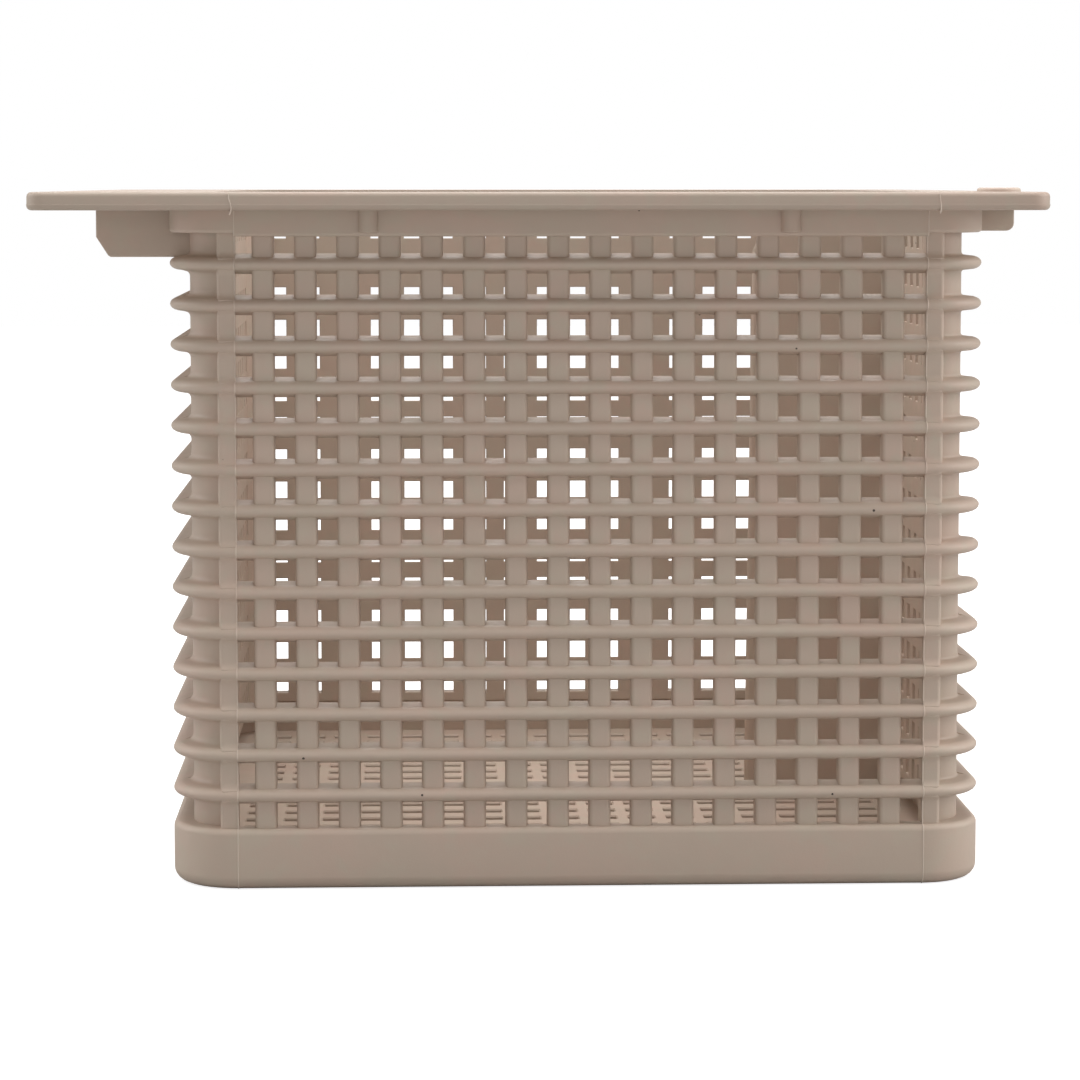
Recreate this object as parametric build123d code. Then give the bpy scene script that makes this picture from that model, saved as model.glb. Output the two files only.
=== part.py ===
from build123d import *
import os

# Flanged strainer basket, moulded in one shot from polypropylene and modelled
# member by member.  Millimetres, +Z up, base on z = 0.  The origin is the
# bottom centre of the whole box, which is the flange's own centre in plan.
# The bar cage stands off centre, because the flange is wider on the left.
# Cage shapes are drawn about the cage's own axis and moved by at_cage.

# ---- driving dimensions -------------------------------------------------
flange_width = 241.8         # along X
flange_depth = 255.2         # along Y
flange_thickness = 4.3
flange_corner_radius = 5.0
flange_edge_radius = 0.7
overall_height = 169.2       # base to the flange's top face

cage_centre_x = 9.85         # cage axis, right of the flange's centre
cage_half_width = 99.4       # to the rib tips, along X
cage_half_depth = 110.0      # to the rib tips, along Y
seam_left = -82.9            # mould seams, from the cage axis along X
seam_right = 84.1

rib_count = 14
rib_pitch = 9.92
lowest_rib_z = 22.95
rib_root_half = 2.36         # half the thickness where the rib leaves the wall
rib_flank_half = 1.66        # half the thickness where the round nose starts
rib_nose = 1.9               # length of the round nose
rib_reach = 4.9              # from the side wall's outer face to the tip
right_rib_count = 5          # the right wall keeps only its lowest ribs

bar_pitch = 10.156
bar_width = 5.2
front_bar_count = 16
side_bar_count = 18
front_wall = 3.6             # thickness of the front and rear grilles
side_wall = 4.0              # thickness of the side grilles and corner posts
pilaster_width = 4.3         # flat strip of the corner post beside a mould seam

collar_height = 6.4          # band under the flange
sill_height = 14.9           # band round the base
sill_skin = 3.4
sill_ledge = 2.6
sill_foot_radius = 3.3
sill_shoulder = 1.5

floor_low = 0.0
floor_high = 2.7
slot_length = 7.5
slot_width = 5.0
slot_pitch_y = 9.95
slots_x = 17
slots_y = 20

partition_foot_x = 51.3      # foot of the plate's free edge, from the cage axis
partition_top_x = 53.0
partition_cut_x = 54.6       # the free edge is cut back at its top
partition_cut_z = 152.5
partition_cut_rise = 4.0
partition_thickness = 2.6
partition_edge_radius = 1.2

gusset_thickness = 3.0
gusset_setback = 20.3        # its front face, behind the rib tips
left_gusset_x = -107.8       # its outer edge, from the origin
left_gusset_drop = 11.7      # below the flange
left_gusset_cut_x = 3.1      # slanted lower corner
left_gusset_cut_z = 4.9
right_gusset_x = 118.4
right_gusset_drop = 5.4
right_gusset_radius = 1.9

boss_radius = 2.4
boss_height = 5.5
boss_offset = 50.8           # either side of the cage axis

button_radius = 5.3
button_height = 1.0
button_edge_radius = 0.7
button_x = 111.9
button_y = -104.0

# ---- faces and levels worked out from them ------------------------------
flange_bottom = overall_height - flange_thickness
collar_bottom = flange_bottom - collar_height
front_face = cage_half_depth - rib_nose
front_inner = front_face - front_wall
side_face = cage_half_width - rib_reach
side_inner = side_face - side_wall
rib_levels = [lowest_rib_z + rib_pitch * k for k in range(rib_count)]
panel_length = seam_right - seam_left
panel_middle = (seam_right + seam_left) / 2


def block(x0, x1, y0, y1, z0, z1):
    """Box between two corners, given in any order along X and Y."""
    solid = Box(abs(x1 - x0), abs(y1 - y0), z1 - z0)
    return Pos((x0 + x1) / 2, (y0 + y1) / 2, (z0 + z1) / 2) * solid


def at_cage(solids):
    """Move shapes drawn about the cage's axis to their place."""
    return [Pos(cage_centre_x, 0, 0) * solid for solid in solids]


# ---- sections, drawn in XZ with the cage's inside towards -X ------------
def rib_section():
    """Whole rib: x = 0 at the side wall's face, straight flanks, round nose."""
    start = rib_reach - rib_nose
    root, flank = rib_root_half, rib_flank_half
    nose = ThreePointArc((start, flank), (rib_reach, 0), (start, -flank))
    rest = Polyline((start, -flank), (0, -root), (0, root), (start, flank))
    return Plane.XZ * make_face([nose, rest])


def nose_section():
    """Only the rib's round nose, its back on x = 0."""
    nose = ThreePointArc((0, rib_flank_half), (rib_nose, 0), (0, -rib_flank_half))
    return Plane.XZ * make_face([nose, Line((0, -rib_flank_half), (0, rib_flank_half))])


def collar_section(depth):
    """Band under the flange: x = 0 at the rib tips' plane."""
    outline = [(0, collar_bottom), (0, flange_bottom), (-depth, flange_bottom),
               (-depth, collar_bottom)]
    return Plane.XZ * make_face(Polyline(*outline, close=True))


def sill_section(depth):
    """Angle round the base: x = 0 at the rib tips' plane, foot and shoulder rounded."""
    foot, lip, top = sill_foot_radius, sill_shoulder, sill_height
    dip = 1 - 0.5 ** 0.5
    shoulder = ThreePointArc((0, top - lip), (-lip * dip, top - lip * dip), (-lip, top))
    toe = ThreePointArc((-foot, 0), (-foot * dip, foot * dip), (0, foot))
    inside = Polyline((-lip, top), (-depth, top), (-depth, top - sill_ledge),
                      (-sill_skin, top - sill_ledge), (-sill_skin, 0), (-foot, 0))
    return Plane.XZ * make_face([shoulder, inside, toe, Line((0, foot), (0, top - lip))])


# ---- runs of a section along a wall or round a corner -------------------
def run_long(section, face, side):
    """Along the front (side -1) or rear (side 1) wall, from seam to seam."""
    bar = extrude(Pos(face, 0, 0) * section, amount=panel_length / 2, dir=(0, 1, 0), both=True)
    return Pos(panel_middle, 0, 0) * (Rot(0, 0, 90 * side) * bar)


def run_side(section, face, side):
    """Along the left (side -1) or right (side 1) wall, from corner to corner."""
    half = cage_half_depth - corner_radius(side)
    bar = extrude(Pos(face, 0, 0) * section, amount=half, dir=(0, 1, 0), both=True)
    return Rot(0, 0, 90 - 90 * side) * bar


def corner_radius(side_x):
    """The corner's arc reaches from the side wall to the mould seam."""
    return cage_half_width - abs(seam_left if side_x < 0 else seam_right)


def run_corner(section, inset, side_x, side_y):
    """A quarter turn round a corner, inset from the rib tips' plane."""
    radius = corner_radius(side_x)
    first_angle = {(1, 1): 0, (-1, 1): 90, (-1, -1): 180, (1, -1): 270}[side_x, side_y]
    quarter = revolve(Pos(radius - inset, 0, 0) * section, Axis.Z, 90)
    centre = Pos(side_x * (cage_half_width - radius), side_y * (cage_half_depth - radius), 0)
    return centre * (Rot(0, 0, first_angle) * quarter)


# ---- flange --------------------------------------------------------------
def make_flange():
    plate = Box(flange_width, flange_depth, flange_thickness)
    plate = fillet(plate.edges().filter_by(Axis.Z), flange_corner_radius)
    plate = fillet(plate.edges().group_by(Axis.Z)[-1], flange_edge_radius)
    plate = fillet(plate.edges().group_by(Axis.Z)[0], flange_edge_radius)
    plate = Pos(0, 0, (flange_bottom + overall_height) / 2) * plate
    cutter_height = 4 * flange_thickness
    mouth = Box(2 * side_inner, 2 * front_inner, cutter_height)
    mouth = fillet(mouth.edges().filter_by(Axis.Z), corner_radius(1) - rib_reach - side_wall)
    return plate - Pos(cage_centre_x, 0, overall_height) * mouth


def make_button():
    disc = Cylinder(button_radius, button_height)
    disc = fillet(disc.edges().group_by(Axis.Z)[-1], button_edge_radius)
    return Pos(button_x, button_y, overall_height + button_height / 2) * disc


# ---- walls ---------------------------------------------------------------
def bars(count, y_out, y_in):
    """Upright bars, centred on x = 0, between two depths."""
    half = bar_width / 2
    middles = [(k - (count - 1) / 2) * bar_pitch for k in range(count)]
    return [block(x - half, x + half, y_out, y_in, sill_height, flange_bottom)
            for x in middles]


def long_grille(side):
    """Front or rear panel: bars and drafted rows, from seam to seam."""
    taper_end = cage_half_depth - rib_reach
    outline = [(front_face, -rib_flank_half), (front_face, rib_flank_half),
               (taper_end, rib_root_half), (front_inner, rib_root_half),
               (front_inner, -rib_root_half), (taper_end, -rib_root_half)]
    section = Plane.XZ * make_face(Polyline(*outline, close=True))
    row = run_long(section, 0, side)
    rows = [Pos(0, 0, z) * row for z in rib_levels]
    uprights = bars(front_bar_count, side * front_face, side * front_inner)
    return uprights[0].fuse(*uprights[1:], *rows)


def side_grille(side):
    """Left or right panel: bars and straight rows, between the corner posts."""
    half = cage_half_depth - corner_radius(side)
    root = rib_root_half
    rows = [block(-half, half, side_inner, side_face, z - root, z + root) for z in rib_levels]
    uprights = bars(side_bar_count, side_face, side_inner)
    panel = uprights[0].fuse(*uprights[1:], *rows)
    return Rot(0, 0, -90 * side) * panel


def long_ribs(side):
    rib = run_long(nose_section(), front_face, side)
    return [Pos(0, 0, z) * rib for z in rib_levels]


def side_ribs(side, count):
    rib = run_side(rib_section(), side_face, side)
    return [Pos(0, 0, z) * rib for z in rib_levels[:count]]


# ---- corners -------------------------------------------------------------
def corner_post(side_x, side_y):
    """Quarter-round wall with the pilaster that ends at the mould seam."""
    outline = [(0, sill_height), (0, flange_bottom), (-side_wall, flange_bottom),
               (-side_wall, sill_height)]
    section = Plane.XZ * make_face(Polyline(*outline, close=True))
    wall = run_corner(section, rib_reach, side_x, side_y)
    seam = seam_left if side_x < 0 else seam_right
    inner = cage_half_depth - rib_reach - side_wall
    pilaster = block(seam, seam + side_x * pilaster_width, side_y * inner,
                     side_y * front_face, sill_height, flange_bottom)
    return wall + pilaster


def corner_ribs(side_x, side_y, post):
    rib = run_corner(rib_section(), rib_reach, side_x, side_y)
    return [(Pos(0, 0, z) * rib) - post for z in rib_levels]


def corner_collar(side_x, side_y, post):
    return run_corner(collar_section(rib_reach), 0, side_x, side_y) - post


def corner_sill(side_x, side_y):
    return run_corner(sill_section(rib_reach + side_wall), 0, side_x, side_y)


# ---- floor and partition -------------------------------------------------
def make_floor():
    """Slotted plate held inside the sill's skin."""
    width = 2 * (cage_half_width - sill_skin)
    depth = 2 * (cage_half_depth - sill_skin)
    outline = RectangleRounded(width, depth, corner_radius(-1) - sill_skin)
    slots = GridLocations(bar_pitch, slot_pitch_y, slots_x, slots_y) * Rectangle(
        slot_length, slot_width)
    plate = extrude(outline - slots, amount=floor_high - floor_low)
    return Pos(0, 0, floor_low) * plate


def make_partition():
    """Upright plate across the right half of the cage, its free edge rounded."""
    outline = [(partition_foot_x, floor_high), (side_inner, floor_high),
               (side_inner, flange_bottom), (partition_cut_x, flange_bottom),
               (partition_cut_x, partition_cut_z + partition_cut_rise),
               (partition_top_x, partition_cut_z)]
    face = Plane.XZ * make_face(Polyline(*outline, close=True))
    plate = extrude(face, amount=partition_thickness, dir=(0, 1, 0))
    lengthwise = plate.edges().filter_by(Axis.Y, reverse=True)
    slanted = lengthwise.filter_by_position(Axis.X, partition_foot_x, partition_top_x)
    return fillet(slanted, partition_edge_radius)


# ---- flange supports -----------------------------------------------------
def gusset(side, y_face):
    """Upright plate under the flange, standing out from a side wall."""
    wall = side * side_face
    if side < 0:
        tip = left_gusset_x - cage_centre_x
        low = flange_bottom - left_gusset_drop
        outline = [(wall, flange_bottom), (tip, flange_bottom), (tip, low + left_gusset_cut_z),
                   (tip + left_gusset_cut_x, low), (wall, low)]
        face = Plane.XZ * make_face(Polyline(*outline, close=True))
        plate = extrude(face, amount=gusset_thickness, dir=(0, 1, 0))
    else:
        tip = right_gusset_x - cage_centre_x
        low = flange_bottom - right_gusset_drop
        plate = block(wall, tip, 0, gusset_thickness, low, flange_bottom)
        outer = plate.edges().filter_by(Axis.Y).sort_by(Axis.X)[-2:]
        plate = fillet(outer.sort_by(Axis.Z)[:1], right_gusset_radius)
    return Pos(0, y_face, 0) * plate


def gussets(side, neighbours):
    """Front and rear gusset of one side, cut where collar and ribs pass."""
    front = -cage_half_depth + gusset_setback
    plates = [gusset(side, front), gusset(side, -front - gusset_thickness)]
    return [plate - neighbours for plate in plates]


def bosses(side):
    """Pair of half-round pads on the collar's face, under the flange."""
    pads = []
    for x in (-boss_offset, boss_offset):
        pad = Pos(x, side * cage_half_depth, flange_bottom - boss_height / 2) * Cylinder(
            boss_radius, boss_height)
        keep = block(-cage_half_width, cage_half_width, side * cage_half_depth,
                     side * (cage_half_depth + 2 * boss_radius), collar_bottom, flange_bottom)
        pads.append(pad & keep)
    return pads


# ---- assembly ------------------------------------------------------------
nodes = {
    "rim_flange": [make_flange()],
    "flange_button": [make_button()],
    "floor_grid": at_cage([make_floor()]),
    "partition_plate": at_cage([make_partition()]),
}

for name, side in (("front", -1), ("rear", 1)):
    nodes[name + "_grille"] = at_cage([long_grille(side)])
    nodes[name + "_ribs"] = at_cage(long_ribs(side))
    collar = run_long(collar_section(rib_nose), cage_half_depth, side)
    nodes[name + "_collar"] = at_cage([collar])
    sill = run_long(sill_section(rib_nose + front_wall), cage_half_depth, side)
    nodes[name + "_sill"] = at_cage([sill])
    nodes[name + "_bosses"] = at_cage(bosses(side))

for name, side, count in (("left", -1, rib_count), ("right", 1, right_rib_count)):
    ribs = side_ribs(side, count)
    collar = run_side(collar_section(rib_reach), cage_half_width, side)
    sill = run_side(sill_section(rib_reach + side_wall), cage_half_width, side)
    nodes[name + "_grille"] = at_cage([side_grille(side)])
    nodes[name + "_ribs"] = at_cage(ribs)
    nodes[name + "_collar"] = at_cage([collar])
    nodes[name + "_sill"] = at_cage([sill])
    nodes[name + "_gussets"] = at_cage(gussets(side, [collar, *ribs]))

for long_name, side_y in (("front", -1), ("rear", 1)):
    for side_name, side_x in (("left", -1), ("right", 1)):
        name = long_name + "_" + side_name
        post = corner_post(side_x, side_y)
        nodes[name + "_post"] = at_cage([post])
        nodes[name + "_corner_ribs"] = at_cage(corner_ribs(side_x, side_y, post))
        nodes[name + "_corner_collar"] = at_cage([corner_collar(side_x, side_y, post)])
        nodes[name + "_corner_sill"] = at_cage([corner_sill(side_x, side_y)])

os.makedirs("parts", exist_ok=True)
for name, solids in nodes.items():
    shape = solids[0] if len(solids) == 1 else Compound(children=solids)
    export_step(shape, "parts/" + name + ".step")
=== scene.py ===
"""Flanged strainer basket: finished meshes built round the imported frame.

The basket is one plastic moulding.  Each operator makes one member, or one group of
like members, as a closed mesh in the frame's own metres.  Wall shapes are drawn with
depth counted inwards from the plane of the rib tips, and turned to their wall.
"""
import math
from collections import namedtuple

import bmesh
import bpy
from bpy.props import FloatProperty, FloatVectorProperty, IntProperty, PointerProperty
from mathutils import Matrix, Vector


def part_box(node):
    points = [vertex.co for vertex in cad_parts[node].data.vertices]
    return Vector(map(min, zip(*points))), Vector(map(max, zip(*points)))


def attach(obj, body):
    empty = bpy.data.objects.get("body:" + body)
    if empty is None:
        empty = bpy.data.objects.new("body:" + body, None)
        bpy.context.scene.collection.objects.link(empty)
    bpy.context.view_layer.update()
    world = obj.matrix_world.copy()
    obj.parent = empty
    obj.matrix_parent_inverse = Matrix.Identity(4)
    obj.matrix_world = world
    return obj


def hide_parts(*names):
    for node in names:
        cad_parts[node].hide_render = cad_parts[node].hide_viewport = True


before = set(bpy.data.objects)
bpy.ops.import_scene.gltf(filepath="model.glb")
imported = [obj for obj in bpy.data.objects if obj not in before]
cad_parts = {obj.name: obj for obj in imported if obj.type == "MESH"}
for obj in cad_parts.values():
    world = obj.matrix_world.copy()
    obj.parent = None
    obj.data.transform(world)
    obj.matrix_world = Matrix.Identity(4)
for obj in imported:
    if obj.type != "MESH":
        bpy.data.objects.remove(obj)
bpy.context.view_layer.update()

bl_info = {
    "name": "Strainer Basket",
    "version": (1, 0, 0),
    "blender": (4, 5, 0),
    "location": "3D View > Sidebar > Basket",
    "description": "Builds a moulded strainer basket with a flange, barred walls and rib bands",
    "category": "Object",
}

MM = 0.001
QUARTER = math.pi / 2
OVERLAP = 0.3 * MM           # how far members run into each other
COLLAR_RISE = 0.8 * MM       # the collar is this much shallower round the corners and sides
CORNER_STEPS = 12
SEAM_CLEARANCE = 0.02        # radians; keeps a band's step off the plane of the posts' ends
FLANGE_PAINTED_SHADE = 0.86          # painted shade: the flange, the same plastic as the cage, is coloured this much darker to stand in for less light on it


# ---- places taken from the frame
def low(node, axis):
    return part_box(node)[0][axis]


def high(node, axis):
    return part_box(node)[1][axis]


def span(node, axis):
    return low(node, axis), high(node, axis)


TIP_LEFT, TIP_RIGHT = low("left_ribs", 0), high("right_ribs", 0)
TIP_FRONT, TIP_REAR = low("front_ribs", 1), high("rear_ribs", 1)
SEAM_LEFT, SEAM_RIGHT = span("front_ribs", 0)
CAGE_X = (TIP_LEFT + TIP_RIGHT) / 2
HALF_WIDTH = (TIP_RIGHT - TIP_LEFT) / 2
HALF_DEPTH = (TIP_REAR - TIP_FRONT) / 2
RADIUS_LEFT = SEAM_LEFT - TIP_LEFT
RADIUS_RIGHT = TIP_RIGHT - SEAM_RIGHT

LONG_FACE = low("front_grille", 1) - TIP_FRONT       # depth of the bars' faces
LONG_BACK = high("front_grille", 1) - TIP_FRONT
SIDE_FACE = low("left_grille", 0) - TIP_LEFT
SIDE_BACK = high("left_grille", 0) - TIP_LEFT

SILL_TOP = high("front_sill", 2)
COLLAR_LOW = low("front_collar", 2)
FLANGE_LOW, FLANGE_TOP = span("rim_flange", 2)
FLOOR_LOW, FLOOR_TOP = span("floor_grid", 2)

# How much taller a row is than the rib on it, above and below.
ROW_MARGIN = (high("left_ribs", 2) - low("left_ribs", 2)
              - high("front_ribs", 2) + low("front_ribs", 2)) / 2


# ---- sizes, colours and light
def length(name, millimetres, description):
    return FloatProperty(name=name, description=description, default=millimetres * MM,
                         unit="LENGTH", precision=5)


def colour(name, default, description):
    return FloatVectorProperty(name=name, description=description, default=default,
                               subtype="COLOR", size=3, min=0, max=1)


def power(name, default, description):
    return FloatProperty(name=name, description=description, default=default,
                         unit="POWER", min=0)


class BasketSizes(bpy.types.PropertyGroup):
    """Sizes of the bars, ribs, edges and slots."""

    rib_count: IntProperty(
        name="Rib rows", default=14, min=1, description="Rows of ribs from base to collar")
    right_rib_count: IntProperty(
        name="Right ribs", default=5, min=0, description="Rows that stand out on the right wall")
    rib_flank: length("Rib half height", 1.66, "Half the rib's height where its nose starts")
    rib_nose: length("Rib nose", 2.6, "Length of the rib's half-oval nose")
    rib_body: length("Rib body", 1.85, "Half the rib's height just before it meets the wall")
    left_hollow: length(
        "Left hollow", 1.4, "Hollow rounding between the ribs and the two left posts")
    right_hollow: length(
        "Right hollow", 0.75, "Hollow rounding between the ribs and the two right posts")
    draft: length("Draft", 0.14, "How much wider bars and rows are at the back, on each side")
    bar_pitch: length("Bar pitch", 10.156, "Distance from one upright bar to the next")
    bar_width: length("Bar width", 5.2, "Width of one upright bar")
    long_bars: IntProperty(
        name="Front bars", default=16, min=1, description="Bars in the front and rear walls")
    side_bars: IntProperty(
        name="Side bars", default=18, min=1, description="Bars in the left and right walls")
    bar_round: length("Bar edge", 1.0, "Rounding of a bar's outer edges")
    soft_edge: length("Soft edge", 0.4, "Rounding of inner edges and thin plates")
    pilaster: length("Pilaster", 4.3, "Width of the flat strip beside each mould seam")
    collar_round: length("Collar edge", 0.9, "Rounding of the collar's lower edge")
    foot_radius: length("Foot", 3.3, "Rounding of the base where it meets the ground")
    sill_skin: length("Base skin", 3.4, "Thickness of the band round the base")
    sill_ledge: length("Base ledge", 2.6, "Thickness of the ledge on top of the base band")
    sill_shoulder: length("Base shoulder", 1.5, "Rounding of the base band's top edge")
    flange_corner: length("Flange corner", 5.0, "Corner radius of the flange in plan")
    flange_edge: length("Flange edge", 1.1, "Rounding of the flange's edges")
    slot_length: length("Slot length", 7.5, "Length of a floor slot, along X")
    slot_width: length("Slot width", 5.0, "Width of a floor slot, along Y")
    slot_pitch: length("Slot pitch", 9.95, "Distance between floor slots, along Y")
    slots_x: IntProperty(
        name="Slots along X", default=17, min=1, description="Floor slots in a row")
    slots_y: IntProperty(
        name="Slots along Y", default=20, min=1, description="Rows of floor slots")
    seam_bead: length("Seam bead", 0.13, "Radius of the fine line of flash along a mould seam")


class BasketFinish(bpy.types.PropertyGroup):
    """Colours and grain of the moulded plastic."""

    plastic: colour("Plastic", (0.475, 0.378, 0.302), "Main colour of the plastic")
    blush: colour("Blush", (0.502, 0.377, 0.303), "Warmer tone in the plastic's faint clouding")
    pale: colour("Pale", (0.475, 0.396, 0.314), "Cooler tone in the plastic's faint clouding")
    flash: colour("Flash", (0.57, 0.475, 0.395), "Thin plastic along the seams")
    button: colour("Button", (0.53, 0.435, 0.36), "Low round button on the flange")
    speck: colour("Speck", (0.06, 0.042, 0.032), "Tiny dark specks in the plastic")
    grain: FloatProperty(
        name="Grain", default=0.06, min=0, max=1, description="Strength of the fine moulded grain")


class BasketStage(bpy.types.PropertyGroup):
    """Floor, light and camera."""

    ambient: FloatProperty(
        name="Ambient", default=0.45, min=0, description="Light of the plain sky")
    main_light: power("Main light", 4.2, "Power of the large light, high in front")
    fill_light: power("Fill light", 1.3, "Power of the low light straight in front")
    left_light: power("Left light", 9.0, "Power of the left light")
    right_light: power("Right light", 12.0, "Power of the right light")
    top_light: power("Top light", 17.0, "Power of the overhead light")
    rear_light: power("Rear light", 5.0, "Power of the rear light")
    floor_glow: FloatProperty(
        name="Floor glow", default=0.8, min=0, description="How far the floor is lifted to white")
    floor_size: FloatProperty(
        name="Floor", default=6.0, min=1, unit="LENGTH", description="Width of the floor")
    lens: FloatProperty(
        name="Lens", default=109.0, min=10, description="Camera focal length, in millimetres")


# ---- outlines
def arc(centre, radius, start, end, steps):
    """Points along an arc, both ends included; angles in radians."""
    turns = [start + (end - start) * k / steps for k in range(steps + 1)]
    return [(centre[0] + radius * math.cos(t), centre[1] + radius * math.sin(t)) for t in turns]


def nose_curve(sizes):
    """Half-oval nose of a rib: (depth, height), from below to above."""
    turns = [QUARTER * k / 5 for k in range(-5, 6)]
    return [(sizes.rib_nose * (1 - math.cos(t)), sizes.rib_flank * math.sin(t)) for t in turns]


def rib_outline(sizes, wall_back, hollow=0.0):
    """Rib and its row in the wall: (depth, height) about the rib's own level.

    A rib that meets a solid post has a hollow rounding above and below it.
    """
    soft, root = sizes.soft_edge, sizes.rib_flank + ROW_MARGIN
    upper = nose_curve(sizes)[5:]
    if hollow:
        upper += arc((SIDE_FACE - hollow, sizes.rib_body + hollow), hollow, -QUARTER, 0, 4)
        upper += [(wall_back, sizes.rib_body + hollow)]
    else:
        upper += [(SIDE_FACE, root)]
        upper += arc((wall_back - soft, root + sizes.draft - soft), soft, QUARTER, 0, 2)
    return upper + [(depth, -height) for depth, height in reversed(upper[1:])]


def row_outline(sizes, wall_face, wall_back):
    """Plain row with no rib standing out of it."""
    soft, root = sizes.soft_edge, sizes.rib_flank + ROW_MARGIN
    deep = root + sizes.draft
    outline = arc((wall_face + soft, -root + soft), soft, -QUARTER, -2 * QUARTER, 3)
    outline += arc((wall_face + soft, root - soft), soft, 2 * QUARTER, QUARTER, 3)
    outline += arc((wall_back - soft, deep - soft), soft, QUARTER, 0, 2)
    return outline + arc((wall_back - soft, soft - deep), soft, 0, -QUARTER, 2)


def bar_outline(sizes, face, back):
    """Upright bar in plan: (along the wall, depth) about the bar's middle."""
    half, edge, soft = sizes.bar_width / 2, sizes.bar_round, sizes.soft_edge
    wide = half + sizes.draft
    outline = arc((-half + edge, face + edge), edge, 2 * QUARTER, 3 * QUARTER, 4)
    outline += arc((half - edge, face + edge), edge, 3 * QUARTER, 4 * QUARTER, 4)
    outline += arc((wide - soft, back - soft), soft, 0, QUARTER, 2)
    return outline + arc((soft - wide, back - soft), soft, QUARTER, 2 * QUARTER, 2)


def rounded_loop(x_range, y_range, radius, steps=8):
    """Points round a rectangle with rounded corners, seen from above."""
    (x0, x1), (y0, y1) = x_range, y_range
    corners = [((x1 - radius, y1 - radius), 0), ((x0 + radius, y1 - radius), 1),
               ((x0 + radius, y0 + radius), 2), ((x1 - radius, y0 + radius), 3)]
    points = []
    for centre, quarter in corners:
        points += arc(centre, radius, quarter * QUARTER, (quarter + 1) * QUARTER, steps)
    return points


def drawn_in(x_range, y_range, amount, radius, steps=8):
    """The same points, moved inwards by an amount on every side."""
    (x0, x1), (y0, y1) = x_range, y_range
    return rounded_loop((x0 + amount, x1 - amount), (y0 + amount, y1 - amount),
                        radius - amount, steps)


# ---- meshes
def swept(outlines, closed=False):
    """Mesh through matching 3-D outlines, capped at both ends unless the run is closed."""
    mesh = bmesh.new()
    rings = [[mesh.verts.new(point) for point in outline] for outline in outlines]
    following = rings[1:] + ([rings[0]] if closed else [])
    for ring, after in zip(rings, following):
        for k in range(len(ring)):
            mesh.faces.new((ring[k - 1], ring[k], after[k], after[k - 1]))
    if not closed:
        mesh.faces.new(rings[0])
        mesh.faces.new(rings[-1])
    bmesh.ops.recalc_face_normals(mesh, faces=mesh.faces)
    return mesh


def plain_mesh(name, mesh):
    """Mesh from a bmesh, which is let go."""
    data = bpy.data.meshes.new(name)
    mesh.to_mesh(data)
    mesh.free()
    return data


def as_object(name, mesh, linked=False):
    """Object from a bmesh; a linked one is in the scene."""
    made = bpy.data.objects.new(name, plain_mesh(name, mesh))
    if linked:
        bpy.context.scene.collection.objects.link(made)
    return made


def raised(levels, closed=False):
    """Mesh through flat outlines, given as (height, outline)."""
    return swept([[(x, y, z) for x, y in outline] for z, outline in levels], closed)


def joined(meshes):
    """One bmesh from several."""
    whole = bmesh.new()
    for mesh in meshes:
        part = plain_mesh("part", mesh)
        whole.from_mesh(part)
        bpy.data.meshes.remove(part)
    return whole


def evaluated_mesh(source):
    """Plain mesh of an object with its modifiers worked out."""
    depsgraph = bpy.context.evaluated_depsgraph_get()
    return bpy.data.meshes.new_from_object(source.evaluated_get(depsgraph))


def shaded(data, name, smooth_angle=32):
    """Plain mesh with smooth rounds and flat faces, as an object in the scene."""
    data.shade_smooth()
    data.set_sharp_from_angle(angle=math.radians(smooth_angle))
    draft = bpy.data.objects.new(name + "_draft", data)
    bpy.context.scene.collection.objects.link(draft)
    weighting = draft.modifiers.new("even faces", "WEIGHTED_NORMAL")
    weighting.keep_sharp = True
    final = evaluated_mesh(draft)
    final.name = name
    bpy.data.objects.remove(draft)
    bpy.data.meshes.remove(data)
    piece = bpy.data.objects.new(name, final)
    bpy.context.scene.collection.objects.link(piece)
    return piece


def declare(piece, material, nodes=()):
    """Finish, body and replaced nodes of a finished piece."""
    piece.data.materials.clear()
    piece.data.materials.append(material)
    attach(piece, "root")
    if nodes:
        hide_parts(*nodes)


def finished(name, mesh, nodes, material):
    """A member made straight from a bmesh."""
    declare(shaded(plain_mesh(name, mesh), name), material, nodes)


# ---- node trees
def add_node(tree, kind, values=None, **settings):
    """A node with its settings, its plain values and its links."""
    node = tree.nodes.new(kind)
    for key, value in settings.items():
        setattr(node, key, value)
    for key, value in (values or {}).items():
        if isinstance(value, bpy.types.NodeSocket):
            tree.links.new(value, node.inputs[key])
        else:
            node.inputs[key].default_value = value
    return node


def new_tree(name, sockets):
    """Geometry tree with named inputs, given as (name, kind)."""
    tree = bpy.data.node_groups.new(name, "GeometryNodeTree")
    tree.interface.new_socket("Geometry", in_out="INPUT", socket_type="NodeSocketGeometry")
    tree.interface.new_socket("Geometry", in_out="OUTPUT", socket_type="NodeSocketGeometry")
    for label, kind in sockets:
        tree.interface.new_socket(label, in_out="INPUT", socket_type="NodeSocket" + kind)
    return tree, tree.nodes.new("NodeGroupInput").outputs


def close_tree(tree, geometry, material):
    """Every tree ends in real geometry with its material set."""
    solid = add_node(tree, "GeometryNodeRealizeInstances", {"Geometry": geometry})
    painted = add_node(tree, "GeometryNodeSetMaterial",
                       {"Geometry": solid.outputs["Geometry"], "Material": material})
    end = tree.nodes.new("NodeGroupOutput")
    tree.links.new(painted.outputs["Geometry"], end.inputs["Geometry"])


def shape_of(tree, source):
    """An object's mesh."""
    return add_node(tree, "GeometryNodeObjectInfo", {"Object": source}).outputs["Geometry"]


def copies_on(tree, points, shape):
    """Real copies of an object's mesh on points."""
    placed = add_node(tree, "GeometryNodeInstanceOnPoints",
                      {"Points": points, "Instance": shape_of(tree, shape)})
    return add_node(tree, "GeometryNodeRealizeInstances",
                    {"Geometry": placed.outputs["Instances"]}).outputs["Geometry"]


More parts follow.
